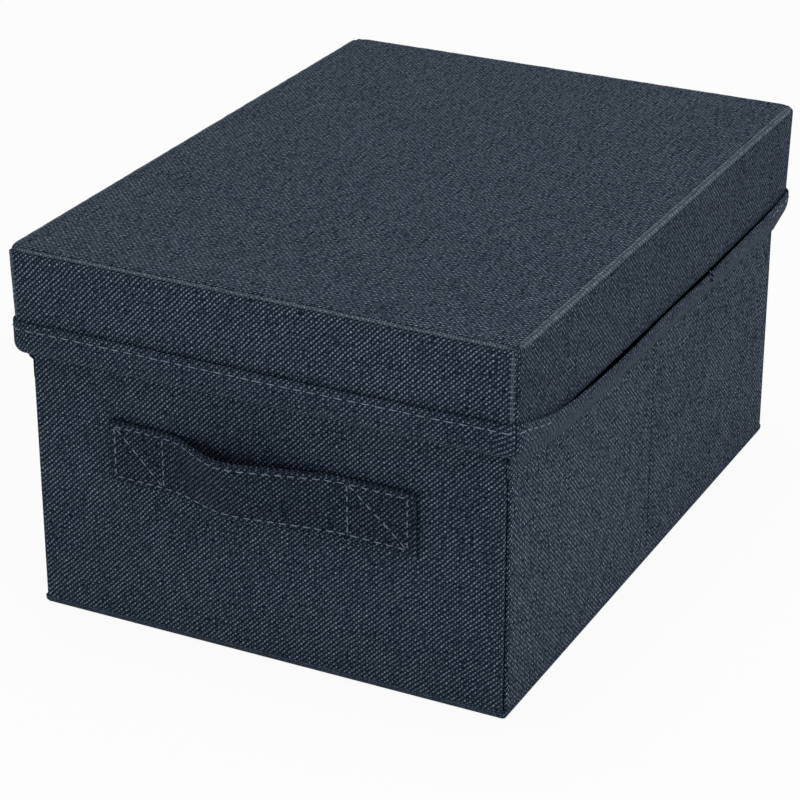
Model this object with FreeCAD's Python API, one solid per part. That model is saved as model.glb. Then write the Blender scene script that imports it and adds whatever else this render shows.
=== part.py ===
import FreeCAD, Part
import math
import os
from FreeCAD import Vector, Rotation, Placement

# Archive box of fabric over board, in millimetres.
# The front with the pull strap faces -Y, the long sides face +X and -X, and +Z is up.
# The origin is the middle of the box's footprint on the table, strap and hem counted in.

# Outer size of the body, over the cover cloth, and of the closed box.
box_width = 190.0
box_depth = 260.0
closed_height = 145.0
end_wall_top = 104.0
side_wall_top = 94.0

# Thickness of the layers of a wall and of the lid.
cover_cloth = 1.0
board = 2.0
lining_cloth = 0.6

# Edges of the boards and of the cloth turned round them.
turned_edge = 1.0
board_corner = 3.0
soft_edge = 0.4

# Lid: how far it stands out past the walls.
lid_overhang = 4.6

# Soft hem along the top of the walls, which flares out round the skirt of the lid.
hem_cloth = 1.2
hem_end_top = 117.0
hem_side_top = 107.5
hem_end_rise = 0.7
hem_side_rise = 9.0
hem_corner_run = 40.0
hem_corner_steps = 4

# Base: cloth floor with a turned rim, and the loose insert that lies on it.
floor_cloth = 0.8
base_round = 2.2
insert_board = 1.8
insert_cloth = 0.6

# Pull strap on the front.
strap_length = 122.0
strap_width = 25.0
strap_cloth = 1.8
strap_middle = 72.0
strap_span = 76.0
strap_peak = -10.0
strap_bow_top = 13.0
strap_bow_bottom = 7.5

# Clearances.
fold_gap = 0.3
lid_gap = 0.3
insert_gap = 1.0
rest_gap = 0.1
base_gap = 0.3

# Sizes that follow.
shell = cover_cloth + board
wall = shell + lining_cloth
insert_bottom = floor_cloth + rest_gap
insert_top = insert_bottom + insert_board + insert_cloth
wall_bottom = insert_top + base_gap
hem_inside = lid_overhang + lid_gap
hem_reach = hem_inside + hem_cloth
skirt_bottom = end_wall_top + hem_end_rise + hem_cloth + lid_gap
front = (strap_bow_top - box_depth - hem_reach) / 2
back = front + box_depth
middle = (front + back) / 2
half_width = box_width / 2
half_depth = box_depth / 2


def block(x0, x1, y0, y1, z0, z1):
    return Part.makeBox(x1 - x0, y1 - y0, z1 - z0, Vector(x0, y0, z0))


def upright_rectangle(x0, x1, y, z0, z1):
    corners = [Vector(x0, y, z0), Vector(x1, y, z0), Vector(x1, y, z1), Vector(x0, y, z1)]
    return Part.makePolygon(corners + corners[:1])


def flat_rectangle(half_x, half_y, z):
    corners = [Vector(-half_x, -half_y, z), Vector(half_x, -half_y, z),
               Vector(half_x, half_y, z), Vector(-half_x, half_y, z)]
    return Part.makePolygon(corners + corners[:1])


def round_corners(solid, direction, radius):
    """Rounds the edges of a solid that run along a direction."""
    edges = [e for e in solid.Edges if abs(abs(e.tangentAt(e.FirstParameter).dot(direction)) - 1) < 1e-6]
    return solid.makeFillet(radius, edges)


def layered(outlines):
    """Slab through outlines that lie one behind the other, with flat faces between them."""
    return Part.makeLoft(outlines, True, True)


def save(shape, name):
    shape.exportStep("parts/" + name + ".step")


# A wall is made as the front one stands: its outer face on y = 0, its outward side -Y, and its
# length along x. An end is mitred at a corner of the box and square at a fold.

class Wall:
    def __init__(self, name, start, end, top, mitre_start, mitre_end, angle, place):
        self.name = name
        self.start = start + fold_gap / 2
        self.end = end - fold_gap / 2
        self.bottom = wall_bottom
        self.top = top
        self.mitre_start = mitre_start
        self.mitre_end = mitre_end
        self.placement = Placement(place, Rotation(Vector(0, 0, 1), angle))

    def put(self, shape):
        moved = shape.copy()
        moved.Placement = self.placement.multiply(moved.Placement)
        return moved

    def ends_at(self, depth):
        return self.start + self.mitre_start * depth, self.end - self.mitre_end * depth


def wall_board(w):
    """Stiff board, with its corners rounded, that lies inside the cover cloth."""
    inset_start = shell if w.mitre_start else turned_edge
    inset_end = shell if w.mitre_end else turned_edge
    plate = block(w.start + inset_start, w.end - inset_end, cover_cloth, shell,
                  w.bottom + turned_edge, w.top - turned_edge)
    return round_corners(plate, Vector(0, 1, 0), board_corner)


def wall_cover(w, the_board):
    """Cover cloth: the outer face and the edges turned in round the board.

    The face is eased at the corners of the box, where the seam draws the cloth in.
    """
    face = upright_rectangle(w.start + w.mitre_start * 2 * soft_edge, w.end - w.mitre_end * 2 * soft_edge, 0,
                             w.bottom, w.top)
    behind = [upright_rectangle(*w.ends_at(depth), depth, w.bottom, w.top) for depth in (soft_edge, shell)]
    return layered([face] + behind).cut(the_board)


def wall_lining(w):
    start, end = w.ends_at(wall)
    return block(start, end, shell, wall, w.bottom, w.top)


def hem_section(x, mitre, root, knee, top):
    """Section of the hem: a foot on the wall, a flare outwards and an upright lip.

    Each point is its distance out from the wall's face and its height. At a corner of the box
    the section lies on the mitre, so a point further out lies further along.
    """
    outline = [(-wall, root), (0, root), (hem_reach, knee), (hem_reach, top), (hem_inside, top),
               (hem_inside, knee + hem_cloth), (0, root + hem_cloth), (-wall, root + hem_cloth)]
    points = [Vector(x + mitre * out, -out, z) for out, z in outline]
    return Part.makePolygon(points + points[:1])


def end_hem(w):
    """Hem of the front or the back: the same section from mitre to mitre."""
    knee = w.top + hem_end_rise
    sections = [hem_section(w.start, -1, w.top, knee, hem_end_top),
                hem_section(w.end, 1, w.top, knee, hem_end_top)]
    return layered(sections)


def side_hem(w):
    """Hem of half a long side: its lip falls from the box's corner to the slack middle."""
    knee = w.top + hem_side_rise
    sections = []
    corner_x = w.start if w.mitre_start else w.end
    inward = 1 if w.mitre_start else -1
    for step in range(hem_corner_steps + 1):
        share = step / hem_corner_steps
        fall = (1 - math.cos(math.pi * share)) / 2
        lip = hem_end_top + (hem_side_top - hem_end_top) * fall
        mitre = -inward if step == 0 else 0
        sections.append(hem_section(corner_x + inward * hem_corner_run * share, mitre, w.top, knee, lip))
    fold_x = w.end if w.mitre_start else w.start
    sections.append(hem_section(fold_x, 0, w.top, knee, hem_side_top))
    return layered(sections)


def make_walls():
    right = Vector(half_width, middle, 0)
    left = Vector(-half_width, middle, 0)
    walls = [
        Wall("front", -half_width, half_width, end_wall_top, True, True, 0, Vector(0, front, 0)),
        Wall("back", -half_width, half_width, end_wall_top, True, True, 180, Vector(0, back, 0)),
        Wall("right_front", -half_depth, 0, side_wall_top, True, False, 90, right),
        Wall("right_rear", 0, half_depth, side_wall_top, False, True, 90, right),
        Wall("left_front", 0, half_depth, side_wall_top, False, True, -90, left),
        Wall("left_rear", -half_depth, 0, side_wall_top, True, False, -90, left),
    ]
    for w in walls:
        the_board = wall_board(w)
        hem = end_hem(w) if w.mitre_start and w.mitre_end else side_hem(w)
        save(w.put(the_board), w.name + "_board")
        save(w.put(wall_cover(w, the_board)), w.name + "_cover")
        save(w.put(wall_lining(w)), w.name + "_lining")
        save(w.put(hem), w.name + "_hem")


# The lid is a board top and four board skirts, covered like the walls and mitred to each other.

def lid_skirt_board(half_length):
    plate = block(-half_length + shell, half_length - shell, cover_cloth, shell,
                  skirt_bottom + turned_edge, closed_height - shell)
    return round_corners(plate, Vector(0, 1, 0), board_corner)


def lid_skirt_cover(half_length, the_board):
    """Cloth of one skirt, mitred to its neighbours and to the top, with its face eased at the seams."""
    outlines = [upright_rectangle(-half_length + inset, half_length - inset, depth,
                                  skirt_bottom, closed_height - inset)
                for inset, depth in ((2 * soft_edge, 0), (soft_edge, soft_edge), (shell, shell))]
    return layered(outlines).cut(the_board)


def lid_top_board(half_x, half_y):
    plate = block(-half_x + shell, half_x - shell, -half_y + shell, half_y - shell,
                  closed_height - shell, closed_height - cover_cloth)
    return round_corners(plate, Vector(0, 0, 1), board_corner)


def lid_top_cover(half_x, half_y, the_board):
    outlines = [flat_rectangle(half_x - inset, half_y - inset, closed_height - depth)
                for inset, depth in ((2 * soft_edge, 0), (soft_edge, soft_edge), (shell, shell))]
    return layered(outlines).cut(the_board)


def lid_lining(half_x, half_y):
    """Lining bag that lines the top and the four skirts."""
    under_top = closed_height - shell
    bag = block(-half_x + shell, half_x - shell, -half_y + shell, half_y - shell, skirt_bottom, under_top)
    hollow = block(-half_x + wall, half_x - wall, -half_y + wall, half_y - wall,
                   skirt_bottom, under_top - lining_cloth)
    return bag.cut(hollow)


def make_lid():
    half_x = half_width + lid_overhang
    half_y = half_depth + lid_overhang
    centre = Vector(0, middle, 0)
    skirts = [("front", half_x, 0, Vector(0, -half_y, 0)), ("back", half_x, 180, Vector(0, half_y, 0)),
              ("right", half_y, 90, Vector(half_x, 0, 0)), ("left", half_y, -90, Vector(-half_x, 0, 0))]
    for name, half_length, angle, place in skirts:
        placement = Placement(centre + place, Rotation(Vector(0, 0, 1), angle))
        the_board = lid_skirt_board(half_length)
        cover = lid_skirt_cover(half_length, the_board)
        for shape, layer in ((the_board, "board"), (cover, "cover")):
            shape.Placement = placement.multiply(shape.Placement)
            save(shape, "lid_" + name + "_" + layer)
    top_board = lid_top_board(half_x, half_y)
    parts = {"lid_top_board": top_board, "lid_top_cover": lid_top_cover(half_x, half_y, top_board),
             "lid_lining": lid_lining(half_x, half_y)}
    for name, shape in parts.items():
        shape.translate(centre)
        save(shape, name)


def make_base():
    """Cloth floor of the box, with the rim that is turned up under the walls."""
    outer = block(-half_width, half_width, front, back, 0, insert_top)
    outer = outer.makeFillet(base_round, [e for e in outer.Edges if abs(e.CenterOfMass.z) < 1e-6])
    recess = block(-half_width + wall, half_width - wall, front + wall, back - wall, floor_cloth, insert_top)
    save(outer.cut(recess), "base_cover")


def make_insert():
    """Loose stiff floor: a board with lining cloth over its top and round its edges."""
    inset = wall + insert_gap
    cover = block(-half_width + inset, half_width - inset, front + inset, back - inset,
                  insert_bottom, insert_top)
    cover = round_corners(cover, Vector(0, 0, 1), board_corner)
    inset = inset + insert_cloth
    plate = block(-half_width + inset, half_width - inset, front + inset, back - inset,
                  insert_bottom, insert_bottom + insert_board)
    plate = round_corners(plate, Vector(0, 0, 1), board_corner - insert_cloth)
    save(plate, "insert_board")
    save(cover.cut(plate), "insert_cover")


# The strap lies flat where it is stitched and bows out between its ends, more at its upper edge.

def strap_flank(flat_x, bowed_x, slack, out, z):
    """One flank of the bow: two equal arcs, flat at the seam and flat again at the slackest place."""
    run = bowed_x - flat_x
    radius = (run * run + slack * slack) / (4 * slack)
    quarter = math.asin(abs(run) / 2 / radius) / 2
    along = math.copysign(radius * math.sin(quarter), run)
    away = radius * (1 - math.cos(quarter))

    def place(x, y):
        return Vector(x, front - y - out, z)

    half_way = place(flat_x + run / 2, slack / 2)
    first = Part.Arc(place(flat_x, 0), place(flat_x + along, away), half_way)
    second = Part.Arc(half_way, place(bowed_x - along, slack - away), place(bowed_x, slack))
    return [first.toShape(), second.toShape()]


def strap_face(bow, out, z):
    slack = bow - strap_cloth
    return (strap_flank(-strap_span / 2, strap_peak, slack, out, z)
            + strap_flank(strap_span / 2, strap_peak, slack, out, z))


def strap_outline(bow, z):
    end = strap_length / 2
    start = strap_span / 2
    outside = front - strap_cloth
    right_end = Part.makePolygon([Vector(start, front, z), Vector(end, front, z),
                                  Vector(end, outside, z), Vector(start, outside, z)])
    left_end = Part.makePolygon([Vector(-start, outside, z), Vector(-end, outside, z),
                                 Vector(-end, front, z), Vector(-start, front, z)])
    edges = strap_face(bow, 0, z) + right_end.Edges + strap_face(bow, strap_cloth, z) + left_end.Edges
    return Part.Wire(Part.__sortEdges__(edges))


def make_strap():
    low = strap_outline(strap_bow_bottom, strap_middle - strap_width / 2)
    high = strap_outline(strap_bow_top, strap_middle + strap_width / 2)
    save(layered([low, high]), "pull_strap")


os.makedirs("parts", exist_ok=True)
make_walls()
make_lid()
make_base()
make_insert()
make_strap()
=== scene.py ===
import math
import bpy
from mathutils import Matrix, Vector, noise


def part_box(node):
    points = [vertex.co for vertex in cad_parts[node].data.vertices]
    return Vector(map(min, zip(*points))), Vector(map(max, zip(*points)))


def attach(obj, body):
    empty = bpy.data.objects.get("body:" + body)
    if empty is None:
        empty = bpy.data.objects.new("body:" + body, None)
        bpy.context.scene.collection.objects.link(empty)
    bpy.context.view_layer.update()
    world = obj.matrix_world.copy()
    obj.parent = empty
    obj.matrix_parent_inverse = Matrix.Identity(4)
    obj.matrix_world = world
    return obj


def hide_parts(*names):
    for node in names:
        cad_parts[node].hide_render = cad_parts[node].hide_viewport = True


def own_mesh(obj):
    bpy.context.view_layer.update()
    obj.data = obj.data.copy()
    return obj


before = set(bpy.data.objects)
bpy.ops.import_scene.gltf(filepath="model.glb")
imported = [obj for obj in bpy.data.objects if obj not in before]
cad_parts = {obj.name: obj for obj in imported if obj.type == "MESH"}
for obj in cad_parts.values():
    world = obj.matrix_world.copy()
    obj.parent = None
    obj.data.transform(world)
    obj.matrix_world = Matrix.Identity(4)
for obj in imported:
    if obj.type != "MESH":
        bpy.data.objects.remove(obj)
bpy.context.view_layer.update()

# Studio: a pale floor under a white surround, and soft light from above, from the front and from
# the right. The camera looks down on the near corner with a long lens, as a catalogue picture does.
camera_place = Vector((0.4325, -0.8826, 0.5137))
camera_target = Vector((-0.0093, 0.0, 0.0487))
camera = bpy.data.objects.new("camera", bpy.data.cameras.new("camera"))
bpy.context.collection.objects.link(camera)
camera.data.lens = 125.0
camera.data.sensor_width = 36.0
camera.location = camera_place
camera.rotation_euler = (camera_target - camera_place).to_track_quat("-Z", "Y").to_euler()
bpy.context.scene.camera = camera
bpy.context.scene.view_settings.view_transform = "Standard"


def soft_lamp(name, place, size, power):
    lamp = bpy.data.lights.new(name, "AREA")
    lamp.size = size
    lamp.energy = power
    holder = bpy.data.objects.new(name, lamp)
    holder.location = place
    holder.rotation_euler = (-Vector(place)).to_track_quat("-Z", "Y").to_euler()
    bpy.context.collection.objects.link(holder)


soft_lamp("window_light", (1.7, -0.35, 1.3), 0.9, 17.5)
soft_lamp("front_light", (-0.3, -1.7, 0.3), 0.8, 6.6)
soft_lamp("top_light", (-0.2, 0.1, 2.0), 1.0, 13.0)


def new_material(name):
    material = bpy.data.materials.new(name)
    material.use_nodes = True
    material.node_tree.nodes.clear()
    return material, material.node_tree


def add_node(tree, kind, **settings):
    node = tree.nodes.new(kind)
    for key, value in settings.items():
        setattr(node, key, value)
    return node


def seen_directly(tree):
    """One for rays from the camera, mirrors and glass, and nought for the light on the object."""
    path = add_node(tree, "ShaderNodeLightPath")
    first = add_node(tree, "ShaderNodeMath", operation="MAXIMUM")
    both = add_node(tree, "ShaderNodeMath", operation="MAXIMUM")
    tree.links.new(path.outputs["Is Camera Ray"], first.inputs[0])
    tree.links.new(path.outputs["Is Glossy Ray"], first.inputs[1])
    tree.links.new(first.outputs[0], both.inputs[0])
    tree.links.new(path.outputs["Is Transmission Ray"], both.inputs[1])
    return both.outputs[0]


room_light = 0.22
backdrop_light = 1.0
world = bpy.data.worlds.new("studio")
world.use_nodes = True
bpy.context.scene.world = world
sky = world.node_tree
sky.nodes.clear()
sky_mix = add_node(sky, "ShaderNodeMixShader")
sky_out = add_node(sky, "ShaderNodeOutputWorld")
sky.links.new(seen_directly(sky), sky_mix.inputs[0])
for strength, socket in ((room_light, sky_mix.inputs[1]), (backdrop_light, sky_mix.inputs[2])):
    white = add_node(sky, "ShaderNodeBackground")
    white.inputs["Color"].default_value = (1.0, 1.0, 1.0, 1.0)
    white.inputs["Strength"].default_value = strength
    sky.links.new(white.outputs[0], socket)
sky.links.new(sky_mix.outputs[0], sky_out.inputs[0])

floor_size = 6.0
floor_grey = (0.9, 0.9, 0.9, 1.0)
backdrop_share = 0.93
floor_corners = [(x * floor_size, y * floor_size, 0.0) for x, y in ((-1, -1), (1, -1), (1, 1), (-1, 1))]
floor_mesh = bpy.data.meshes.new("floor")
floor_mesh.from_pydata(floor_corners, [], [(0, 1, 2, 3)])
floor = bpy.data.objects.new("floor", floor_mesh)
bpy.context.collection.objects.link(floor)
floor_paper, paper = new_material("floor_paper")
matt = add_node(paper, "ShaderNodeBsdfDiffuse")
matt.inputs["Color"].default_value = floor_grey
glow = add_node(paper, "ShaderNodeEmission")
glow.inputs["Strength"].default_value = backdrop_light
paper_share = add_node(paper, "ShaderNodeMath", operation="MULTIPLY")
paper_share.inputs[1].default_value = backdrop_share
paper_mix = add_node(paper, "ShaderNodeMixShader")
paper_out = add_node(paper, "ShaderNodeOutputMaterial")
paper.links.new(seen_directly(paper), paper_share.inputs[0])
paper.links.new(paper_share.outputs[0], paper_mix.inputs[0])
paper.links.new(matt.outputs[0], paper_mix.inputs[1])
paper.links.new(glow.outputs[0], paper_mix.inputs[2])
paper.links.new(paper_mix.outputs[0], paper_out.inputs[0])
floor_mesh.materials.append(floor_paper)


# Wall covers: slate linen drawn tight over six stiff boards, one for each end and two for each
# long side. At the corners of the box a seam pinches the cloth in, and at the middle of each
# long side a pressed crease lets the wall fold.
def millimetres(node):
    """The lower and the upper corner of a node's box."""
    return [[v * 1000 for v in corner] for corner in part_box(node)]


front_low, front_high = millimetres("front_cover")
side_high = millimetres("right_front_cover")[1]
front = front_low[1]
back = millimetres("back_cover")[1][1]
middle = (front + back) / 2
half_width = side_high[0]
half_depth = (back - front) / 2
wall_bottom = front_low[2]
rim_top = millimetres("base_cover")[1][2]
end_top = front_high[2]
side_top = side_high[2]
cover_depth = 3.0
wall_depth = 3.6
fold_gap = 0.15
seam_gap = 0.55
crease_gap = 0.07
rim_gap = 0.05
corner_ease = 0.9
crease_ease = 0.8
cover_foot_ease = 0.15
cover_top_ease = 0.5
cloth_cell = 4.0
wave_fade = 6.0
quarter_round = (22.5, 45, 67.5, 90)

# name, start, end, top, mitre at start, mitre at end, turn about Z, place
walls = [
    ("front", -half_width, half_width, end_top, 1, 1, 0, (0, front)),
    ("back", -half_width, half_width, end_top, 1, 1, 180, (0, back)),
    ("right_front", -half_depth, 0, side_top, 1, 0, 90, (half_width, middle)),
    ("right_rear", 0, half_depth, side_top, 0, 1, 90, (half_width, middle)),
    ("left_front", 0, half_depth, side_top, 0, 1, -90, (-half_width, middle)),
    ("left_rear", -half_depth, 0, side_top, 1, 0, -90, (-half_width, middle)),
]

# The weave, in millimetres and in shares of a yarn. The relief is in metres. Each wall's cloth is
# cut from another place, wall_shift further along.
yarn_pitch = 1.01
yarn_wander, wander_grain = 0.9, 0.12
yarn_twist = 0.45
warp_crown, weft_crown = 0.7, 0.6
flank_shade_falloff = 1.1
tone_swing, fleck_swing, cloud_swing = 1.9, 3.4, 0.4
fleck_grain, cloud_grain = 0.9, 0.03
warp_step, weft_step, tone_stretch = 7.31, 5.77, 0.13
tone_relief = 0.6
yarn_relief = 0.0004
# The gap colour is painted shade: the dark that falls between the yarns.
painted_gap_shade = (0.0003, 0.006, 0.019)
wall_shift = 311


def effect_group(name, inputs):
    """Node group with the given inputs, which puts out a colour and the height of the surface."""
    group = bpy.data.node_groups.new(name, "ShaderNodeTree")
    for label, value in inputs:
        kind = "NodeSocketColor" if isinstance(value, tuple) else "NodeSocketFloat"
        group.interface.new_socket(label, in_out="INPUT", socket_type=kind).default_value = value
    group.interface.new_socket("Colour", in_out="OUTPUT", socket_type="NodeSocketColor")
    group.interface.new_socket("Height", in_out="OUTPUT", socket_type="NodeSocketFloat")
    return group, add_node(group, "NodeGroupInput"), add_node(group, "NodeGroupOutput")


def mixed(tree, kind, sockets, clamp=True):
    """Blend of two colours or two numbers. The sockets are the share, the first and the second."""
    mix = add_node(tree, "ShaderNodeMix", data_type=kind, clamp_factor=clamp)
    places = (0, 6, 7) if kind == "RGBA" else (0, 2, 3)
    for place, socket in zip(places, sockets):
        tree.links.new(socket, mix.inputs[place])
    return mix.outputs[2] if kind == "RGBA" else mix.outputs[0]


def weave_group():
    """Plain weave of slubby yarns, with painted shade in the gaps, on the yarn flanks and on the weft."""
    group, given, result = effect_group("linen_weave", [
        ("Yarn", (0.2, 0.24, 0.3, 1)), ("Gap_shade", (0.01, 0.012, 0.015, 1)), ("Pitch", yarn_pitch),
        ("Slub", 1.0), ("Weft_shade", 0.3)])

    def calculate(operation, a, b=None):
        step = add_node(group, "ShaderNodeMath", operation=operation)
        for socket, value in zip(step.inputs, (a, b)):
            if isinstance(value, (int, float)):
                socket.default_value = value
            elif value is not None:
                group.links.new(value, socket)
        return step.outputs[0]

    def times(a, b):
        return calculate("MULTIPLY", a, b)

    def plus(a, b):
        return calculate("ADD", a, b)

    def minus(a, b):
        return calculate("SUBTRACT", a, b)

    def blotch(x, y, scale, detail):
        place = add_node(group, "ShaderNodeCombineXYZ")
        group.links.new(x, place.inputs[0])
        group.links.new(y, place.inputs[1])
        noise_field = add_node(group, "ShaderNodeTexNoise")
        noise_field.inputs["Scale"].default_value = scale
        noise_field.inputs["Detail"].default_value = detail
        group.links.new(place.outputs[0], noise_field.inputs["Vector"])
        return noise_field.outputs[0]

    on_cloth = add_node(group, "ShaderNodeAttribute", attribute_name="cloth")
    split = add_node(group, "ShaderNodeSeparateXYZ")
    group.links.new(on_cloth.outputs["Vector"], split.inputs[0])
    x, y = split.outputs[0], split.outputs[1]
    pitch, slub, weft_shade_level = (given.outputs[label] for label in ("Pitch", "Slub", "Weft_shade"))

    # Which yarn a place lies on, and where across it. The warp is over the weft on every other one.
    wander = times(minus(blotch(x, y, wander_grain, 2.0), 0.5), yarn_wander)
    u = calculate("DIVIDE", plus(x, wander), pitch)
    v = calculate("DIVIDE", minus(y, wander), pitch)
    warp, weft = calculate("FLOOR", u), calculate("FLOOR", v)
    over = calculate("FLOORED_MODULO", plus(warp, weft), 2.0)
    in_u, in_v = calculate("FRACT", u), calculate("FRACT", v)
    twist = times(minus(in_v, 0.5), yarn_twist)
    across_u = calculate("MINIMUM", calculate("MAXIMUM", minus(in_u, twist), 0.0), 1.0)
    round_u = calculate("SINE", times(across_u, math.pi))
    round_v = calculate("SINE", times(in_v, math.pi))
    warp_high = times(round_u, plus(times(round_v, warp_crown), 1 - warp_crown))
    weft_high = times(round_v, plus(times(round_u, weft_crown), 1 - weft_crown))
    height = mixed(group, "FLOAT", (over, warp_high, weft_high))

    # Yarns differ along their length, single crossings more, and whole patches a little.
    warp_tone = blotch(times(warp, warp_step), times(v, tone_stretch), 1.0, 2.0)
    weft_tone = blotch(times(u, tone_stretch), times(weft, weft_step), 1.0, 2.0)
    tone = minus(mixed(group, "FLOAT", (over, warp_tone, weft_tone)), 0.5)
    fleck = minus(blotch(u, v, fleck_grain, 1.0), 0.5)
    cloud = minus(blotch(x, y, cloud_grain, 3.0), 0.5)
    uneven = times(plus(times(tone, tone_swing), times(fleck, fleck_swing)), slub)
    lit = plus(plus(1.0, uneven), times(cloud, cloud_swing))
    # Painted shade: the weft is darker where it lies over, each yarn darkens from crown to flanks, and the
    # gap colour lies between.
    weft_shade_share = plus(times(over, minus(weft_shade_level, 1.0)), 1.0)
    shaded_yarn_share = times(calculate("POWER", height, flank_shade_falloff), weft_shade_share)
    share = times(shaded_yarn_share, calculate("MAXIMUM", lit, 0.0))
    tint = mixed(group, "RGBA", (share, given.outputs["Gap_shade"], given.outputs["Yarn"]), clamp=False)
    group.links.new(tint, result.inputs["Colour"])
    group.links.new(plus(height, times(tone, tone_relief)), result.inputs["Height"])
    return group


def effect_material(name, group, values, roughness, relief, depth):
    """Material that takes its colour and its relief from a node group with values of its own."""
    material, tree = new_material(name)
    effect = add_node(tree, "ShaderNodeGroup", node_tree=group)
    for label, value in values.items():
        effect.inputs[label].default_value = (*value, 1) if isinstance(value, tuple) else value
    bump = add_node(tree, "ShaderNodeBump")
    bump.inputs["Strength"].default_value = relief
    bump.inputs["Distance"].default_value = depth
    surface = add_node(tree, "ShaderNodeBsdfPrincipled")
    surface.inputs["Roughness"].default_value = roughness
    out = add_node(tree, "ShaderNodeOutputMaterial")
    tree.links.new(effect.outputs["Colour"], surface.inputs["Base Color"])
    tree.links.new(effect.outputs["Height"], bump.inputs["Height"])
    tree.links.new(bump.outputs[0], surface.inputs["Normal"])
    tree.links.new(surface.outputs[0], out.inputs[0])
    return material, surface


weave = weave_group()


def cloth_material(name, yarn, slub, weft, relief=0.35, gap=painted_gap_shade):
    """Matt linen with a trace of sheen. Its weft level and gap colour set the weave's painted shade."""
    values = {"Yarn": yarn, "Gap_shade": gap, "Slub": slub, "Weft_shade": weft, "Pitch": yarn_pitch}
    material, surface = effect_material(name, weave, values, 0.92, relief, yarn_relief)
    surface.inputs["Specular IOR Level"].default_value = 0.06
    surface.inputs["Sheen Weight"].default_value = 0.02
    return material


# Painted light and shade: one linen, in a lighter or darker copy for each face as the lamps fall on it.
front_cloth = cloth_material("front_linen", (0.162, 0.205, 0.259), 1.1, 0.12)
side_cloth = cloth_material("side_linen", (0.186, 0.236, 0.298), 1.45, 0.1, relief=0.5)
side_rear_cloth = cloth_material("side_rear_linen", (0.177, 0.224, 0.283), 1.6, 0.1, relief=0.5)


def placed(point, angle, place):
    """A point of a wall that faces -Y, turned about Z and moved to its side of the box."""
    c, s = math.cos(math.radians(angle)), math.sin(math.radians(angle))
    x, y, z = point
    return (place[0] + c * x - s * y, place[1] + s * x + c * y, z)


def cloth_piece(name, points, faces, on_cloth, materials, body, nodes=(), second=()):
    """Mesh from points in millimetres, with the place of each point on the flat cloth.

    Faces listed in second take the second material. Threads have no place on the cloth.
    """
    mesh = bpy.data.meshes.new(name)
    mesh.from_pydata([(x / 1000, y / 1000, z / 1000) for x, y, z in points], [], faces)
    for material in materials:
        mesh.materials.append(material)
    mark = mesh.attributes.new("cloth", "FLOAT_VECTOR", "POINT")
    for i, (u, v) in enumerate(on_cloth):
        mark.data[i].vector = (u, v, 0)
    for index in second:
        mesh.polygons[index].material_index = 1
    mesh.polygons.foreach_set("use_smooth", [True] * len(mesh.polygons))
    mesh.validate()
    mesh.update()
    piece = bpy.data.objects.new(name, mesh)
    bpy.context.collection.objects.link(piece)
    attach(piece, body)
    if nodes:
        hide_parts(*nodes)
    return piece


def ripple(x, z, seed, size):
    return noise.noise(Vector((x / size, z / size, seed)))


def slack(rest, *waves):
    """How far stretched cloth stands off: its rest place and waves of height, length and seed."""
    def stand_off(x, z):
        return rest + sum(height * ripple(x, z, seed, length) for height, length, seed in waves)
    return stand_off


def panel(x0, x1, z0, z1, depth0, depth1, mitres, ease, face_out, cell=cloth_cell):
    """Closed slab of cloth with a soft edge all round. Outward is -y, and depth0 is the outer face.

    mitres and ease hold the values for start, end, bottom and top. At a mitred edge the slab
    ends on the plane at 45 degrees, so that two slabs meet in a pinched seam.
    """
    nx = max(2, round((x1 - x0) / cell))
    nz = max(2, round((z1 - z0) / cell))
    points, on_cloth, faces = [], [], []

    def edge(k, turn):
        return ease[k] * (1 + mitres[k] - math.sin(turn)), ease[k] * (1 - math.cos(turn))

    def ring_point(i, j, insets, depths):
        x = x0 + insets[0] + (x1 - x0 - insets[0] - insets[1]) * i / nx
        z = z0 + insets[2] + (z1 - z0 - insets[2] - insets[3]) * j / nz
        near = [depths[k] for k, on in enumerate((i == 0, i == nx, j == 0, j == nz)) if on]
        return x, depth0 + (max(near) if near else 0), z

    start = [edge(k, 0)[0] for k in range(4)]
    for j in range(nz + 1):
        for i in range(nx + 1):
            x, y, z = ring_point(i, j, start, (0, 0, 0, 0))
            fade = min(1.0, min(x - x0, x1 - x, z - z0, z1 - z) / wave_fade)
            points.append((x, y - face_out(x, z) * max(0.0, fade), z))
            on_cloth.append((x, z))
    for j in range(nz):
        for i in range(nx):
            a = j * (nx + 1) + i
            faces.append((a, a + 1, a + nx + 2, a + nx + 1))
    border = ([(i, 0) for i in range(nx)] + [(nx, j) for j in range(nz)]
              + [(i, nz) for i in range(nx, 0, -1)] + [(0, j) for j in range(nz, 0, -1)])
    last = [j * (nx + 1) + i for i, j in border]
    rings = [[edge(k, math.radians(turn)) for k in range(4)] for turn in quarter_round]
    rings.append([(mitres[k] * (depth1 - depth0), depth1 - depth0) for k in range(4)])
    for ring in rings:
        insets = [pair[0] for pair in ring]
        depths = [pair[1] for pair in ring]
        first = len(points)
        for i, j in border:
            x, y, z = ring_point(i, j, insets, depths)
            points.append((x, y, z))
            away_x = (y - depth0) * ((i == nx) - (i == 0))
            away_z = (y - depth0) * ((j == nz) - (j == 0))
            on_cloth.append((x + away_x, z + away_z))
        now = list(range(first, len(points)))
        for k in range(len(now)):
            n = (k + 1) % len(now)
            faces.append((last[k], now[k], now[n], last[n]))
        last = now
    faces.append(tuple(reversed(last)))
    return points, faces, on_cloth


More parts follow.
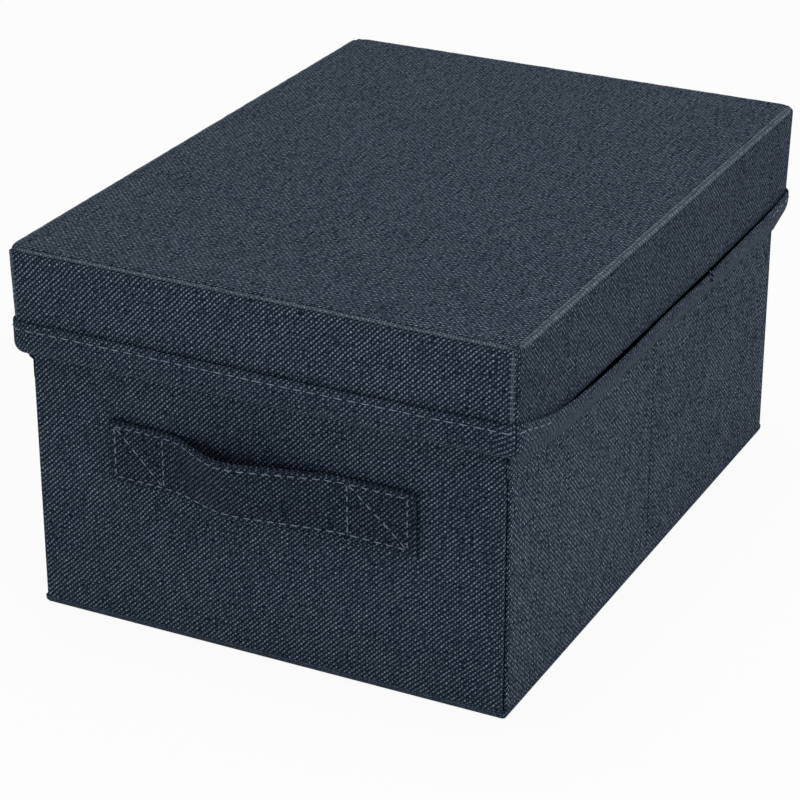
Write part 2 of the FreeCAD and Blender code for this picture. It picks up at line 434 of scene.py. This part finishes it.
for number, (name, start, end, top, mitre_a, mitre_b, angle, place) in enumerate(walls):
    mitres = (mitre_a, mitre_b)
    gap_a, gap_b = (seam_gap if mitre else crease_gap for mitre in mitres)
    ease_a, ease_b = (corner_ease if mitre else crease_ease for mitre in mitres)
    board_wave = slack(0, (0.25, 55.0, number * 3.7), (0.1, 18.0, number * 3.7 + 9))
    points, faces, on_cloth = panel(start + gap_a, end - gap_b, rim_top + rim_gap, top, 0, cover_depth,
                                    (mitre_a, mitre_b, 0, 0),
                                    (ease_a, ease_b, cover_foot_ease, cover_top_ease), board_wave)
    if name in ("front", "back"):
        linen = front_cloth
    else:
        linen = side_cloth if name.endswith("front") else side_rear_cloth
    cloth_piece(name + "_cloth", [placed(p, angle, place) for p in points], faces,
                [(u + number * wall_shift, v) for u, v in on_cloth], [linen], name + "_wall",
                [name + "_cover"])


# Hem: the wall cloth folded outwards round the skirt of the lid, stitched once along its upper
# edge. It stands high at the ends and falls to a slack line along the sides, and its foot is
# sewn to the wall.
hem_cloth = 0.9
hem_step = 3.0
corner_turns = 6
corner_draw = 1.35
corner_extra = 0.3
pinch_length = 5.0
lip_wave, reach_wave, hem_wave_length = 0.25, 0.2, 26.0
foot_ease, knee_ease, lip_ease = 2.2, 3.2, 0.58
inner_knee_ease, inner_foot_ease = 2.0, 1.0
foot_out, inner_out, turned_edge = 0.12, 0.2, -0.3
foot_drop, foot_bevel = 0.9, 0.5
drawn_from, drawn_to = -0.35, 0.15

# The topstitch under the lip, which the sides show near their ends only, and the small tuck where
# the cloth of the right side laps over itself.
lip_over_stitch = 2.8
stitch_proud = 0.08
side_stitches = 22.0
dash_length = 3.6
dash_pitch = 5.2
dash_thickness = 0.42
dash_sides = 6
dash_dip = 0.55
dash_profile = ((-0.5, 0.35), (-0.34, 0.95), (0, 1.1), (0.34, 0.95), (0.5, 0.35))
lap_place, lap_height, lap_proud = 170.5, 104.3, 0.1
lap_rises = (0.0, 1.9)
lap_length, lap_thickness = 3.0, 1.6

# Height of the lip, of the knee and of the foot, and reach from the wall, from the front corner
# of a long side to its rear corner, in millimetres.
side_lip = [(0, 116.8), (10, 113.7), (20, 111.2), (30, 109.4), (46, 107.8), (82, 106.6), (127, 107.5),
            (162, 107.0), (198, 107.7), (229, 107.9), (246, 108.3), (260, 109.2)]
side_knee = [(0, 105.1), (20, 104.6), (45, 102.8), (130, 102.4), (235, 102.4), (250, 102.6),
             (260, 102.9)]
side_foot = [(0, 102.6), (9, 100.8), (20, 97.2), (38, 93.6), (60, 92.8), (225, 92.8), (242, 92.5),
             (260, 92.0)]
side_reach = [(0, 5.4), (25, 5.9), (60, 6.2), (130, 6.4), (200, 6.4), (240, 5.9), (260, 5.4)]

# The same for the front and the back, along their width. Both reach out alike.
end_reach = [(0, 5.4), (20, 5.85), (95, 6.15), (170, 5.85), (190, 5.4)]
front_lip = [(0, 116.8), (20, 117.0), (95, 116.8), (170, 117.0), (190, 116.8)]
front_knee = [(0, 105.1), (95, 105.1), (190, 105.1)]
front_foot = [(0, 102.6), (95, 102.6), (190, 102.6)]
back_lip = [(0, 109.2), (16, 112.0), (40, 116.0), (95, 116.8), (150, 116.0), (174, 112.0), (190, 109.2)]
back_knee = [(0, 102.9), (24, 104.2), (95, 105.1), (166, 104.2), (190, 102.9)]
back_foot = [(0, 92.0), (18, 95.5), (40, 100.5), (95, 102.6), (150, 100.5), (172, 95.5), (190, 92.0)]
side_curves = (side_lip, side_knee, side_foot, side_reach)
end_curves = {"front": (front_lip, front_knee, front_foot, end_reach),
              "back": (back_lip, back_knee, back_foot, end_reach)}


def along(curve, t):
    """Smooth line through (place, value) pairs."""
    t = min(max(t, curve[0][0]), curve[-1][0])
    k = max(i for i in range(len(curve) - 1) if curve[i][0] <= t)
    (a, va), (b, vb) = curve[k], curve[k + 1]

    def slope(i):
        low, high = max(i - 1, 0), min(i + 1, len(curve) - 1)
        return (curve[high][1] - curve[low][1]) / (curve[high][0] - curve[low][0])

    run = b - a
    s = (t - a) / run
    return (va * (1 + 2 * s) * (1 - s) ** 2 + vb * s * s * (3 - 2 * s)
            + slope(k) * run * s * (1 - s) ** 2 - slope(k + 1) * run * s * s * (1 - s))


def softened(corners, most=0.48):
    """Closed outline through corners (out, z, radius, steps), each eased by its radius."""
    line = []
    for k, (out, z, radius, steps) in enumerate(corners):
        if not steps:
            line.append((out, z))
            continue
        here = Vector((out, z))
        before = Vector(corners[k - 1][:2]) - here
        after = Vector(corners[(k + 1) % len(corners)][:2]) - here
        a = here + before.normalized() * min(radius, before.length * most)
        b = here + after.normalized() * min(radius, after.length * most)
        for n in range(steps + 1):
            s = n / steps
            p = a * (1 - s) ** 2 + here * 2 * s * (1 - s) + b * s * s
            line.append((p.x, p.y))
    return line


def hem_outline(root, foot, knee, lip, reach):
    """Section of the hem: foot, knee and lip on its outside, then back down to the wall's top."""
    inside = reach - hem_cloth
    low = min(root, foot) - foot_drop
    high = max(foot, root) + hem_cloth
    return softened([(turned_edge, low, 0, 0), (foot_out, low + foot_bevel, 0, 0),
                     (foot_out, foot, foot_ease, 5), (reach, knee, knee_ease, 7),
                     (reach, lip, lip_ease, 3), (inside, lip, lip_ease, 3),
                     (inside, knee + hem_cloth, inner_knee_ease, 5),
                     (inner_out, high, inner_foot_ease, 3), (-wall_depth, high, 0, 0),
                     (-wall_depth, root, 0, 0), (turned_edge, root, 0, 0)])


def tube_faces(rings, size, first=0, flipped=False):
    """Faces round a tube whose rings of points follow one another, and over its two ends."""
    faces = []
    for ring in range(rings - 1):
        for k in range(size):
            a, b = first + ring * size + k, first + ring * size + (k + 1) % size
            faces.append((a, a + size, b + size, b) if flipped else (a, b, b + size, a + size))
    start = range(first, first + size)
    end = range(first + (rings - 1) * size, first + rings * size)
    faces.append(tuple(start if flipped else reversed(start)))
    faces.append(tuple(reversed(end) if flipped else end))
    return faces


def thread_dash(points, faces, spot, ahead, outward, length, thick):
    """One stitch: a short rounded thread that lies half in the cloth."""
    side = ahead.cross(outward).normalized()
    first = len(points)
    for place, girth in dash_profile:
        for k in range(dash_sides):
            turn = math.radians(360 / dash_sides * k)
            offset = side * math.cos(turn) + outward * math.sin(turn)
            dip = outward * (-thick * dash_dip * (2 * place) ** 2)
            points.append(tuple(spot + ahead * (place * length) + dip + offset * (thick / 2 * girth)))
    faces.extend(tube_faces(len(dash_profile), dash_sides, first))


def fleck_group():
    """Fine fibres between two tones."""
    group, given, result = effect_group("fibre_fleck", [
        ("Dark", (0.01, 0.01, 0.01, 1)), ("Light", (0.04, 0.04, 0.04, 1)), ("Fineness", 900.0)])
    place = add_node(group, "ShaderNodeTexCoord")
    fibres = add_node(group, "ShaderNodeTexNoise")
    fibres.inputs["Detail"].default_value = 3.0
    group.links.new(place.outputs["Object"], fibres.inputs["Vector"])
    group.links.new(given.outputs["Fineness"], fibres.inputs["Scale"])
    tint = mixed(group, "RGBA", (fibres.outputs[0], given.outputs["Dark"], given.outputs["Light"]))
    group.links.new(tint, result.inputs["Colour"])
    group.links.new(fibres.outputs[0], result.inputs["Height"])
    return group


fleck = fleck_group()


def flecked_material(name, dark, light, fineness, roughness, relief, depth=0.0002):
    values = {"Dark": dark, "Light": light, "Fineness": fineness}
    return effect_material(name, fleck, values, roughness, relief, depth)[0]


thread = flecked_material("thread", (0.085, 0.112, 0.145), (0.26, 0.32, 0.39), 900.0, 0.75, 0.1)
# Painted shade: the hem's copy of the wall linen is a little darker.
hem_linen = cloth_material("hem_linen", (0.152, 0.193, 0.243), 1.1, 0.14)

for number, (name, start, end, top, mitre_a, mitre_b, angle, place) in enumerate(walls):
    first_x, last_x = start + fold_gap, end - fold_gap
    count = round((last_x - first_x) / hem_step)
    stations = [(first_x + (last_x - first_x) * k / count, 0.0) for k in range(count + 1)]
    turns = [45.0 * k / corner_turns for k in range(1, corner_turns + 1)]
    if mitre_a:
        stations = [(first_x, -turn) for turn in reversed(turns)] + stations
    if mitre_b:
        stations = stations + [(last_x, turn) for turn in turns]
    points, on_cloth, seam = [], [], []
    for x, turn in stations:
        wave = ripple(x, number * 50, 2.0, hem_wave_length)
        if name in end_curves:
            t = x + half_width
        else:
            t = x + half_depth if name.startswith("right") else half_depth - x
        lip, knee, foot, reach = (along(curve, t) for curve in end_curves.get(name, side_curves))
        lip += lip_wave * wave
        if name not in end_curves:
            reach += reach_wave * wave
        c, s = math.cos(math.radians(turn)), math.sin(math.radians(turn))
        outline = hem_outline(top, foot, knee, lip, reach)
        from_seam = min(x - start if mitre_a else pinch_length, end - x if mitre_b else pinch_length)
        corner_share = max(0.0, 1 - from_seam / pinch_length) + corner_extra * abs(turn) / 45
        length = 0.0
        for k, (out, z) in enumerate(outline):
            if drawn_from < out < drawn_to:
                out -= corner_draw * corner_share ** 2
            away = out / c if out < -wall_depth / 2 else out
            points.append(placed((x + away * s, -away * c, z), angle, place))
            if k:
                length += math.hypot(out - outline[k - 1][0], z - outline[k - 1][1])
            on_cloth.append((x + math.radians(turn) * reach + number * wall_shift, end_top + length))
        stitch_out = reach + stitch_proud
        stitch = (x + stitch_out * s, -stitch_out * c, lip - lip_over_stitch)
        seam.append((Vector(placed(stitch, angle, place)), Vector(placed((s, -c, 0), angle, (0, 0)))))
    faces = tube_faces(len(stations), len(points) // len(stations), flipped=True)
    if name == "right_rear":
        tuck = Vector((half_width + along(side_reach, lap_place) + lap_proud, front + lap_place, lap_height))
        for rise in lap_rises:
            thread_dash(points, faces, tuck + Vector((0, 0, rise)), Vector((0, 0, 1)), Vector((1, 0, 0)),
                        lap_length, lap_thickness)
        on_cloth += [(points[k][2], k % dash_sides * 0.5) for k in range(len(on_cloth), len(points))]
    cloth_faces = len(faces)
    walked = [0.0]
    for a, b in zip(seam, seam[1:]):
        walked.append(walked[-1] + (b[0] - a[0]).length)
    dash = dash_pitch / 2
    while dash < walked[-1]:
        k = max(i for i in range(len(walked) - 1) if walked[i] <= dash)
        share = (dash - walked[k]) / (walked[k + 1] - walked[k])
        spot = seam[k][0].lerp(seam[k + 1][0], share)
        ahead = (seam[k + 1][0] - seam[k][0]).normalized()
        from_corner = min(spot.y - front, back - spot.y)
        if name in end_curves or from_corner < side_stitches:
            thread_dash(points, faces, spot, ahead, seam[k][1], dash_length, dash_thickness)
        dash += dash_pitch
    hem = cloth_piece(name + "_soft_hem", points, faces, on_cloth, [hem_linen, thread], name + "_wall",
                      [name + "_hem"], range(cloth_faces, len(faces)))
    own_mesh(hem)


# Lining: thin smooth cloth glued to the inner side of each wall board. It wrinkles a little in
# upright folds, and stops short of the fold lines so that the walls can turn.
lining_ease = 0.25
lining_wave_height, lining_wave_length, lining_stretch = 0.2, 24.0, 0.4
lining_cloth = flecked_material("lining_cloth", (0.012, 0.014, 0.018), (0.034, 0.037, 0.044),
                                1400.0, 0.8, 0.2)

for number, (name, start, end, top, mitre_a, mitre_b, angle, place) in enumerate(walls):
    def lining_wave(x, z, seed=number * 5.1 + 40):
        return lining_wave_height * (ripple(x, z * lining_stretch, seed, lining_wave_length) - 0.5)

    x0 = start + fold_gap + mitre_a * wall_depth
    x1 = end - fold_gap - mitre_b * wall_depth
    points, faces, on_cloth = panel(-x1, -x0, wall_bottom, top, -wall_depth, -cover_depth, (0, 0, 0, 0),
                                    [lining_ease] * 4, lining_wave)
    cloth_piece(name + "_lining_cloth", [placed((-x, -y, z), angle, place) for x, y, z in points], faces,
                on_cloth, [lining_cloth], name + "_wall", [name + "_lining"])


# Base: a floor of the same linen with a rim turned up round the foot of the walls. It has no
# board of its own. Its upper side is faced with lining cloth.
base_round = 2.2
base_corner = 1.2
floor_cloth = 0.8
rim_edge, rim_ease = 0.1, 0.3
corner_steps = 5


def rounded_ring(half_x, half_y, radius, z):
    """Points round a rectangle with round corners, about the middle of the box."""
    ring = []
    for cx, cy, first_turn in ((1, -1, -90), (1, 1, 0), (-1, 1, 90), (-1, -1, 180)):
        for k in range(corner_steps + 1):
            turn = math.radians(first_turn + 90 * k / corner_steps)
            ring.append((cx * (half_x - radius) + radius * math.cos(turn),
                         middle + cy * (half_y - radius) + radius * math.sin(turn), z))
    return ring


def stacked(rings):
    """Closed mesh over rings that follow one another, with flat ends."""
    points, on_cloth = [], []
    length = 0.0
    for r, ring in enumerate(rings):
        around = 0.0
        if r:
            length += (Vector(ring[0]) - Vector(rings[r - 1][0])).length
        for k, point in enumerate(ring):
            if k:
                around += (Vector(point) - Vector(ring[k - 1])).length
            points.append(point)
            on_cloth.append((around, length))
    return points, tube_faces(len(rings), len(rings[0])), on_cloth


base_rings = []
for turn in (0, *quarter_round):
    inset = base_round * (1 - math.sin(math.radians(turn)))
    rise = base_round * (1 - math.cos(math.radians(turn)))
    base_rings.append(rounded_ring(half_width - inset, half_depth - inset, base_corner, rise))
# inset, height and corner radius: over the rim and down its inner side to the floor
for inset, z, radius in ((0, rim_top - rim_edge, 1.2), (rim_edge, rim_top, 1.1),
                         (wall_depth - rim_ease, rim_top, 1.6), (wall_depth, rim_top - rim_ease, 1.5),
                         (wall_depth, floor_cloth + rim_ease, 1.5),
                         (wall_depth + rim_ease, floor_cloth, 1.4)):
    base_rings.append(rounded_ring(half_width - inset, half_depth - inset, radius, z))
points, faces, on_cloth = stacked(base_rings)
# Painted shade: the base takes the same darker copy of the linen as the hem.
base_linen = cloth_material("base_linen", (0.152, 0.193, 0.243), 1.1, 0.14)
cloth_piece("base_cloth", points, faces, on_cloth, [base_linen, lining_cloth], "front_wall",
            ["base_cover"], [len(faces) - 1])


# Insert: a loose stiff floor that keeps the base flat. It is a board with lining cloth over its
# top and round its edges, and lies on the base.
insert_low, insert_high = millimetres("insert_cover")
insert_ease = 0.7
insert_cell = 6.0


def lying(point):
    """A panel laid flat: its outward side faces up."""
    x, y, z = point
    return x, z, -y


insert_wave = slack(-0.12, (0.12, 40.0, 77.0))
points, faces, on_cloth = panel(insert_low[0], insert_high[0], insert_low[1], insert_high[1],
                                -insert_high[2], -insert_low[2], (0, 0, 0, 0), [insert_ease] * 4,
                                insert_wave, insert_cell)
cloth_piece("insert_cloth", [lying(p) for p in points], faces, on_cloth, [lining_cloth], "base_insert",
            ["insert_cover"])


# Lid: a board top and four board skirts under one linen cover. The cloth is sewn where the top
# meets the skirts and down the four corners, and is folded in under the skirts.
lid_low, lid_high = millimetres("lid_top_cover")
lid_swell = 0.2
lid_ease = 1.4
lid_slot = 0.08
lid_half_x = lid_high[0] + lid_swell
lid_half_y = (lid_high[1] - lid_low[1]) / 2 + lid_swell
lid_top = lid_high[2]
skirt_bottom = millimetres("lid_front_cover")[0][2]
skirt_taper = 0.8
skirt_corner_ease = 0.9
skirt_foot_ease = 1.1
skirt_shift = 173
# Painted light and shade: the lid's linen in darker copies for its top and sides, a lighter one for front
# and back.
lid_top_linen = cloth_material("lid_top_linen", (0.141, 0.179, 0.226), 1.5, 0.28, relief=0.4)
lid_front_linen = cloth_material("lid_front_linen", (0.182, 0.231, 0.291), 1.1, 0.12)
lid_side_linen = cloth_material("lid_side_linen", (0.140, 0.177, 0.224), 1.35, 0.12, relief=0.5)

lid_wave = slack(0, (0.3, 80.0, 5.0), (0.12, 25.0, 8.0))
points, faces, on_cloth = panel(-lid_half_x, lid_half_x, middle - lid_half_y, middle + lid_half_y, -lid_top,
                                cover_depth - lid_top, (1, 1, 1, 1), [lid_ease] * 4, lid_wave)
cloth_piece("lid_top_cloth", [lying(p) for p in points], faces, on_cloth, [lid_top_linen], "lid",
            ["lid_top_cover"])

# name, half length, turn, place, how far the lower edge leans out at the start and at the end
skirts = [("front", lid_half_x, 0, (0, middle - lid_half_y), 0.1, 0.2),
          ("back", lid_half_x, 180, (0, middle + lid_half_y), 0.3, 0.2),
          ("right", lid_half_y, 90, (lid_half_x, middle), 0.4, 0.8),
          ("left", lid_half_y, -90, (-lid_half_x, middle), 0.8, 0.4)]
for number, (name, half_length, angle, place, lean_a, lean_b) in enumerate(skirts):
    skirt_wave = slack(0.15, (0.17, 40.0, number * 4.3 + 60), (0.07, 14.0, number * 4.3 + 65))
    points, faces, on_cloth = panel(lid_slot - half_length, half_length - lid_slot, skirt_bottom, lid_top,
                                    0, cover_depth, (1, 1, 0, 1),
                                    (skirt_corner_ease, skirt_corner_ease, skirt_foot_ease, lid_ease),
                                    skirt_wave)
    leaning = []
    for x, y, z in points:
        share = (x + half_length) / (2 * half_length)
        drop = (lid_top - z) / (lid_top - skirt_bottom)
        if y < cover_depth / 2:
            bulge = math.sin(math.pi * min(1, max(0, share)))
            y += skirt_taper * drop - (lean_a * (1 - share) + lean_b * share) * drop * bulge
            x *= 1 - skirt_taper * drop / half_length
        leaning.append((x, y, z))
    linen = lid_front_linen if name in ("front", "back") else lid_side_linen
    cloth_piece("lid_" + name + "_cloth", [placed(p, angle, place) for p in leaning], faces,
                [(u + number * skirt_shift, v) for u, v in on_cloth], [linen], "lid",
                ["lid_" + name + "_cover"])

# The seams of the lid, each a narrow roll of cloth: four round its top, and one down each corner.
seam_step = 1.6
seam_thick = 1.6
seam_sides = 8
seam_ends = (0.35, 0.8, 1.0)
seam_waver, waver_length = 0.16, 5.0
seam_stop = 1.8
seam_inset = 1.0
corner_seam_inset, corner_seam_proud = 2.0, 0.05
corner_seam_foot, corner_seam_top = 117.6, lid_top - 1.6
corner_seam_wide, corner_seam_thick = 1.3, 1.2
corner_seam_lean = 0.55
# Painted highlight: the seams' linen is a lighter copy of the cover linen, with lighter gaps, for the light
# their ridges catch.
highlit_seam_linen = cloth_material("highlit_seam_linen", (0.2, 0.248, 0.302), 0.9, 0.4, gap=(0.03, 0.04, 0.056))


def sewn_seam(name, a, b, wide, thick, across):
    """Straight seam from a to b, with an oval section that wavers a little and thin ends."""
    a, b, across = Vector(a), Vector(b), Vector(across).normalized()
    count = max(4, round((b - a).length / seam_step))
    up = (b - a).normalized().cross(across).normalized()
    points, on_cloth = [], []
    for i in range(count + 1):
        spot = a.lerp(b, i / count)
        fade = seam_ends[min(i, count - i, 2)]
        swell = fade * (1 + seam_waver * ripple(spot.x + spot.y, spot.z, 3.0, waver_length))
        for k in range(seam_sides):
            turn = math.radians(360 / seam_sides * k)
            aside, raised = wide / 2 * swell * math.cos(turn), thick / 2 * swell * math.sin(turn)
            points.append(tuple(spot + across * aside + up * raised))
            on_cloth.append((i * (b - a).length / count, k * 0.6))
    cloth_piece(name, points, tube_faces(count + 1, seam_sides), on_cloth, [highlit_seam_linen], "lid")


edge_x, edge_y, edge_z = lid_half_x - seam_inset, lid_half_y - seam_inset, lid_top - seam_inset
# name, first and last corner, how far it stops short of them along x and y, width, way across
for name, corners, stop_x, stop_y, wide, across in (
        ("front", ((-1, -1), (1, -1)), seam_stop, 0, 1.3, (0, 1, 1)),
        ("back", ((1, 1), (-1, 1)), seam_stop, 0, 1.3, (0, -1, 1)),
        ("right", ((1, -1), (1, 1)), 0, seam_stop, 2.8, (-1, 0, 1)),
        ("left", ((-1, 1), (-1, -1)), 0, seam_stop, 2.8, (1, 0, 1))):
    a, b = ((x * (edge_x - stop_x), middle + y * (edge_y - stop_y), edge_z) for x, y in corners)
    sewn_seam("lid_seam_" + name, a, b, wide, seam_thick, across)
for side, side_name in ((-1, "left"), (1, "right")):
    for end, end_name in ((-1, "front"), (1, "back")):
        x = side * (lid_half_x - corner_seam_inset)
        y = middle + end * (lid_half_y + corner_seam_proud)
        foot = (x - side * corner_seam_lean, y - end * corner_seam_lean, corner_seam_foot)
        sewn_seam("lid_corner_seam_" + end_name + "_" + side_name, foot, (x, y, corner_seam_top),
                  corner_seam_wide, corner_seam_thick, (1, 0, 0))

# The lining of the lid: a shallow bag glued inside its top and its skirts.
lining_top = lid_top - cover_depth
lid_lining_corner = 1.2
lid_lining_ease = 0.3
ceiling = lining_top - (wall_depth - cover_depth)
lining_rings = []
for inset, z in ((cover_depth, lining_top), (cover_depth, skirt_bottom), (wall_depth, skirt_bottom),
                 (wall_depth, skirt_bottom + 10), (wall_depth, lining_top - 8),
                 (wall_depth, ceiling - lid_lining_ease), (wall_depth + lid_lining_ease, ceiling)):
    lining_rings.append(rounded_ring(lid_half_x - inset, lid_half_y - inset, lid_lining_corner, z))
points, faces, on_cloth = stacked(lining_rings)
faces = [tuple(reversed(face)) for face in faces]
cloth_piece("lid_lining_cloth", points, faces, on_cloth, [lining_cloth], "lid",
            ["lid_lining"])


# Pull strap: a band of the linen folded to double thickness, sewn to the front at both ends with
# a box of stitches and one diagonal. It is a little too long for its place, so its middle bows
# out, more at the upper edge than at the lower.
strap_low, strap_high = millimetres("pull_strap")
strap_x0, strap_x1 = strap_low[0], strap_high[0]
strap_z0, strap_z1 = strap_low[2], strap_high[2]
strap_cloth = 1.8
strap_back = 0.05
strap_steps = 104
strap_rows = 10
strap_shift = 700
edge_round = 0.45
edge_turns = (30, 60, 90, 120, 150)
bow_peak = -9.5
bow_start, bow_end = -39.0, 37.0
bow_top, bow_bottom = 13.0 - strap_cloth, 7.5 - strap_cloth
bow_round, bow_slope, bow_fullness = 0.14, 1.3, 1.3
strap_tilt = 2.2
strap_sag, sag_spread = 0.5, 20
curl_height, curl_width = 1.5, 4.5
band_swell, band_swell_length, band_margin = 0.2, 9.0, 3


def strap_drop(x):
    """How far the strap hangs below its place, by its sag and its slant."""
    sag = strap_sag * math.exp(-((x - bow_peak) / sag_spread) ** 2)
    return sag + strap_tilt * (x - strap_x0) / (strap_x1 - strap_x0)


def held(value):
    """The value, kept between nought and one."""
    return min(1.0, max(0.0, value))


def strap_bow(x, z):
    """How far the strap's back stands off the wall: a curl at two edges, and the bow."""
    from_top, from_end = (z - strap_z1) / curl_width, (x - strap_x1) / curl_width
    curl = curl_height * held(max(from_top, from_end) + 1) ** 2
    if x <= bow_start or x >= bow_end:
        return curl
    if x < bow_peak:
        rise = (1 + math.cos(math.pi * (bow_peak - x) / (bow_peak - bow_start))) / 2
    else:
        t = (x - bow_peak) / (bow_end - bow_peak)
        straight = 1 + bow_round - math.sqrt(bow_slope * t * t + bow_round ** 2)
        rise = held(straight) ** bow_fullness * (1 - t ** 6)
    upper = held((z - strap_z0) / (strap_z1 - strap_z0))
    return curl * (1 - rise) + rise * (bow_bottom + (bow_top - bow_bottom) * upper)


def folded_edge(z, way, turns):
    """The round fold of the band at its upper or lower edge, as (z, out) pairs."""
    return [(z + way * edge_round * math.sin(math.radians(turn)),
             strap_cloth / 2 * (1 + math.cos(math.radians(turn)))) for turn in turns]


flat_low, flat_high = strap_z0 + edge_round, strap_z1 - edge_round
flat = [flat_low + (flat_high - flat_low) * k / strap_rows for k in range(strap_rows + 1)]
section = ([(z, strap_cloth) for z in flat] + folded_edge(flat_high, 1, edge_turns)
           + [(z, strap_back) for z in reversed(flat)] + folded_edge(flat_low, -1, edge_turns[::-1]))
points, on_cloth = [], []
for i in range(strap_steps + 1):
    x = strap_x0 + (strap_x1 - strap_x0) * i / strap_steps
    for k, (z, out) in enumerate(section):
        inward = held(min(abs(z - strap_z0), abs(strap_z1 - z)) / band_margin)
        swell = band_swell * ripple(x, z, 31.0, band_swell_length) * inward if out > 1 else 0.0
        points.append((x, front - out - strap_bow(x, z) - swell, z - strap_drop(x)))
        on_cloth.append((x + strap_shift, z + (out if k > strap_rows else 0)))
faces = tube_faces(strap_steps + 1, len(section), flipped=True)
cloth_faces = len(faces)

# Stitches: a box with one diagonal at each end, and a row along each edge between the boxes.
stitch_pitch = 4.4
stitch_thickness = 0.46
stitch_depth = 0.1
thread_from, thread_to = 0.16, 0.84
row_inset = 2.5
low_row, high_row = strap_z0 + row_inset, strap_z1 - row_inset
left_box = (strap_x0 + 1.6, -39.5)
right_box = (34.5, strap_x1 - 3.2)


def strap_surface(x, z):
    return Vector((x, front - strap_cloth - strap_bow(x, z) - stitch_depth, z - strap_drop(x)))


def stitch_line(a, b):
    """Row of stitches on the strap between two places (x, z)."""
    count = max(1, round(math.dist(a, b) / stitch_pitch))
    facing = Vector((0, -1, 0))
    for k in range(count):
        low, high = (strap_surface(a[0] + (b[0] - a[0]) * s, a[1] + (b[1] - a[1]) * s)
                     for s in ((k + thread_from) / count, (k + thread_to) / count))
        ahead = (high - low).normalized()
        outward = (facing - ahead * ahead.dot(facing)).normalized()
        thread_dash(points, faces, (low + high) / 2, ahead, outward, (high - low).length, stitch_thickness)


for x0, x1 in (left_box, right_box):
    stitch_line((x0, low_row), (x1, low_row))
    stitch_line((x1, low_row), (x1, high_row))
    stitch_line((x1, high_row), (x0, high_row))
    stitch_line((x0, high_row), (x0, low_row))
    stitch_line((x0, high_row), (x1, low_row))
for row in (low_row, high_row):
    stitch_line((left_box[1], row), (right_box[0], row))
strap_linen = cloth_material("strap_linen", (0.1, 0.127, 0.161), 1.25, 0.1, gap=(0.0002, 0.0045, 0.015))
cloth_piece("strap_linen_band", points, faces, on_cloth, [strap_linen, thread], "front_wall",
            ["pull_strap"], range(cloth_faces, len(faces)))


# Boards: grey paperboard that stiffens the walls, the lid and the insert. The cloth is glued over
# it and hides it.
paperboard = flecked_material("paperboard", (0.2, 0.19, 0.17), (0.36, 0.34, 0.31), 600.0, 0.9, 0.1)
for name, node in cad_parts.items():
    if name.endswith("_board"):
        for holder in node.material_slots:
            holder.material = paperboard
